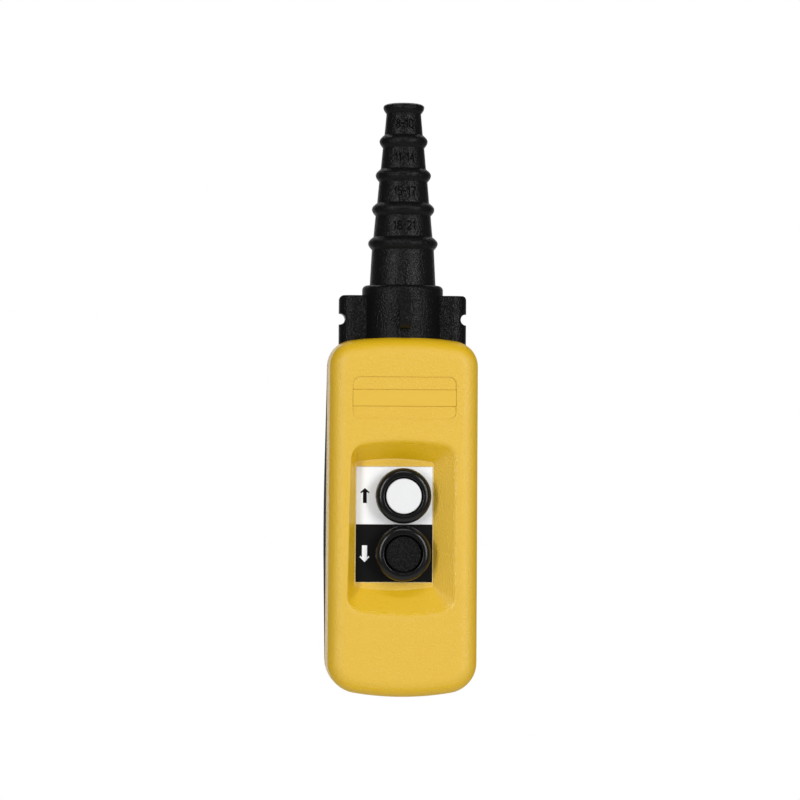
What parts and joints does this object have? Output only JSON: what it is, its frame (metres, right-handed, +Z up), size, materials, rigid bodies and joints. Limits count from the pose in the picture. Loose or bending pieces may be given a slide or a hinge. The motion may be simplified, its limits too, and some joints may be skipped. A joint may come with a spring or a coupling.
{
  "type": "pushbutton pendant station",
  "caption": "Hand-held hoist pendant with up and down pushbuttons in a sunken panel, a palm-shaped back, a collar with sling eyes and a stepped rubber cable sleeve.",
  "frame": {"origin": "centre of the cable sleeve's mouth, where the cable enters and holds the station", "axes": "+Z up along the cable, -Y towards the person who presses the buttons, +X to that person's right"},
  "size_m": [0.0814, 0.0708, 0.3126],
  "materials": {
    "yellow_shell": "moulded, fine-grained",
    "black_shell": "moulded, fine-grained",
    "sleeve_rubber": "matt moulded rubber",
    "seal_rubber": "smooth rubber",
    "legend_white": "smooth white plate",
    "legend_black": "smooth black plate",
    "bezel_black": "fine-grained black",
    "cap_white": "fine-grained white",
    "cap_black": "fine-grained black",
    "black_nylon": "satin",
    "ivory_acetal": "satin",
    "block_grey": "satin",
    "spring_steel": "drawn wire",
    "plated_steel": "zinc plated",
    "contact_brass": "plain"
  },
  "bodies": {
    "station": {"front_shell": "yellow_shell", "name_insert": "yellow_shell", "rear_shell": "black_shell", "shell_gasket": "seal_rubber", "cover_screws": "plated_steel", "sleeve_collar": "black_shell", "cable_sleeve": "sleeve_rubber", "cable_clamp_bar": "black_nylon", "cable_clamp_screws": "plated_steel", "up_legend_plate": "legend_white", "down_legend_plate": "legend_black", "up_bezel": "bezel_black", "down_bezel": "bezel_black", "up_boot": "seal_rubber", "down_boot": "seal_rubber", "up_panel_seal": "seal_rubber", "down_panel_seal": "seal_rubber", "up_barrel": "black_nylon", "down_barrel": "black_nylon", "up_locknut": "black_nylon", "down_locknut": "black_nylon", "up_return_spring": "spring_steel", "down_return_spring": "spring_steel", "up_contact_housing": "block_grey", "down_contact_housing": "block_grey", "up_block_cover": "block_grey", "down_block_cover": "block_grey", "up_fixed_contacts": "contact_brass", "down_fixed_contacts": "contact_brass", "up_terminal_screws": "plated_steel", "down_terminal_screws": "plated_steel", "up_block_screws": "plated_steel", "down_block_screws": "plated_steel"},
    "up_button": {"up_cap": "cap_white", "up_stem": "ivory_acetal", "up_stem_ring": "spring_steel"},
    "down_button": {"down_cap": "cap_black", "down_stem": "ivory_acetal", "down_stem_ring": "spring_steel"},
    "up_slide": {"up_plunger": "ivory_acetal", "up_bridge_spring": "spring_steel"},
    "down_slide": {"down_plunger": "ivory_acetal", "down_bridge_spring": "spring_steel"},
    "up_contact": {"up_bridge": "contact_brass"},
    "down_contact": {"down_bridge": "contact_brass"}
  },
  "joints": [
    {"name": "up_press", "type": "slide", "parent": "station", "child": "up_button", "axis": [0, 1, 0], "range_m": [0, 0.0045], "stiffness_N_per_m": 1500, "springref_m": -0.002, "deforming": ["up_boot", "up_return_spring"]},
    {"name": "down_press", "type": "slide", "parent": "station", "child": "down_button", "axis": [0, 1, 0], "range_m": [0, 0.0045], "stiffness_N_per_m": 1500, "springref_m": -0.002, "deforming": ["down_boot", "down_return_spring"]},
    {"name": "up_slide_travel", "type": "slide", "parent": "station", "child": "up_slide", "axis": [0, 1, 0], "range_m": [0, 0.0045], "deforming": ["up_bridge_spring"]},
    {"name": "down_slide_travel", "type": "slide", "parent": "station", "child": "down_slide", "axis": [0, 1, 0], "range_m": [0, 0.0045], "deforming": ["down_bridge_spring"]},
    {"name": "up_contact_travel", "type": "slide", "parent": "station", "child": "up_contact", "axis": [0, 1, 0], "range_m": [0, 0.00225]},
    {"name": "down_contact_travel", "type": "slide", "parent": "station", "child": "down_contact", "axis": [0, 1, 0], "range_m": [0, 0.00225]}
  ],
  "couplings": [
    {"joint": "up_slide_travel", "follows": "up_press", "ratio": 1},
    {"joint": "down_slide_travel", "follows": "down_press", "ratio": 1},
    {"joint": "up_contact_travel", "follows": "up_press", "ratio": 0.5},
    {"joint": "down_contact_travel", "follows": "down_press", "ratio": 0.5}
  ]
}
